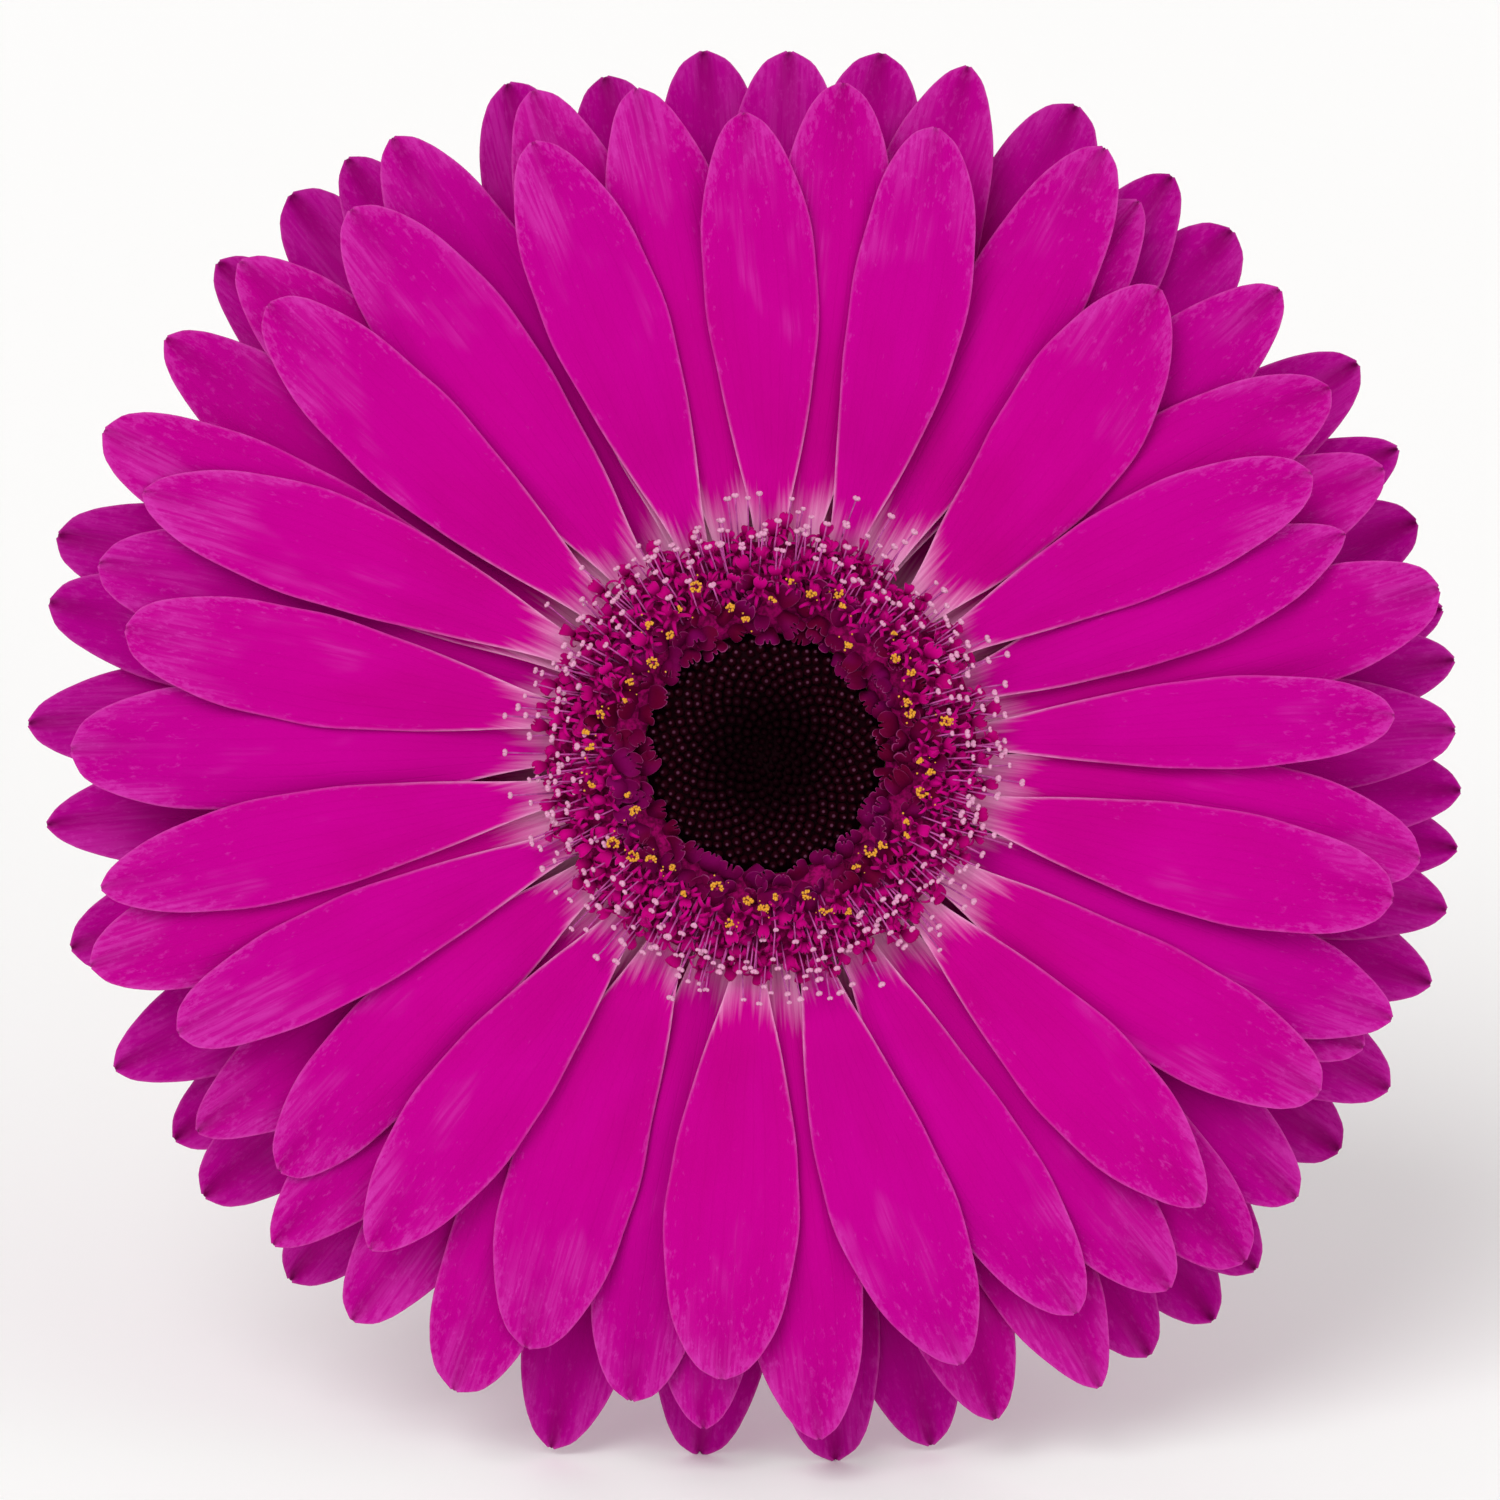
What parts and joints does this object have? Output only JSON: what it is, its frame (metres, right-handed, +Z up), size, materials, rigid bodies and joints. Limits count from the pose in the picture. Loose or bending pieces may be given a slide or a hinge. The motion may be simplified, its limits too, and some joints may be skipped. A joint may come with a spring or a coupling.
{
  "type": "cut gerbera flower",
  "caption": "Cut gerbera lying on its side: magenta rays in crowded rows round a ring of florets and a dark eye, with a green bract cup behind and a short, bowed stem.",
  "frame": {"origin": "on the surface the flower lies on, under the middle of its box", "axes": "+Z up; the flower's face looks towards -Y and tips up by about 17 degrees, and the stem runs back along +Y"},
  "size_m": [0.1108, 0.1836, 0.1043],
  "materials": {
    "upper_petals": "satin, soft, with fine lengthwise veins",
    "lower_petals": "satin, soft, with fine lengthwise veins",
    "florets": "matte, velvety",
    "eye": "matte, near black, with paler bud tips",
    "bracts": "matte green with fine pale hairs",
    "stem": "satin green, finely ribbed, with fine pale hairs"
  },
  "bodies": {
    "root": {"upper_petal_01": "upper_petals", "upper_petal_02": "upper_petals", "upper_petal_03": "upper_petals", "upper_petal_04": "upper_petals", "upper_petal_05": "upper_petals", "upper_petal_06": "upper_petals", "upper_petal_07": "upper_petals", "upper_petal_08": "upper_petals", "upper_petal_09": "upper_petals", "upper_petal_10": "upper_petals", "upper_petal_11": "upper_petals", "upper_petal_12": "upper_petals", "upper_petal_13": "upper_petals", "upper_petal_14": "upper_petals", "upper_petal_15": "upper_petals", "upper_petal_16": "upper_petals", "upper_petal_17": "upper_petals", "upper_petal_18": "upper_petals", "upper_petal_19": "upper_petals", "upper_petal_20": "upper_petals", "upper_petal_21": "upper_petals", "second_petal_01": "upper_petals", "second_petal_02": "upper_petals", "second_petal_03": "upper_petals", "second_petal_04": "upper_petals", "second_petal_05": "upper_petals", "second_petal_06": "upper_petals", "second_petal_07": "upper_petals", "second_petal_08": "upper_petals", "second_petal_09": "upper_petals", "second_petal_10": "upper_petals", "second_petal_11": "upper_petals", "second_petal_12": "upper_petals", "second_petal_13": "upper_petals", "second_petal_14": "upper_petals", "third_petal_01": "lower_petals", "third_petal_02": "lower_petals", "third_petal_03": "lower_petals", "third_petal_04": "lower_petals", "third_petal_05": "lower_petals", "third_petal_06": "lower_petals", "third_petal_07": "lower_petals", "third_petal_08": "lower_petals", "third_petal_09": "lower_petals", "third_petal_10": "lower_petals", "third_petal_11": "lower_petals", "third_petal_12": "lower_petals", "third_petal_13": "lower_petals", "third_petal_14": "lower_petals", "third_petal_15": "lower_petals", "third_petal_16": "lower_petals", "third_petal_17": "lower_petals", "third_petal_18": "lower_petals", "third_petal_19": "lower_petals", "third_petal_20": "lower_petals", "outer_petals": "lower_petals", "disc_buds": "eye", "open_florets": "florets", "bract_cup": "bracts", "stem": "stem"}
  },
  "joints": []
}
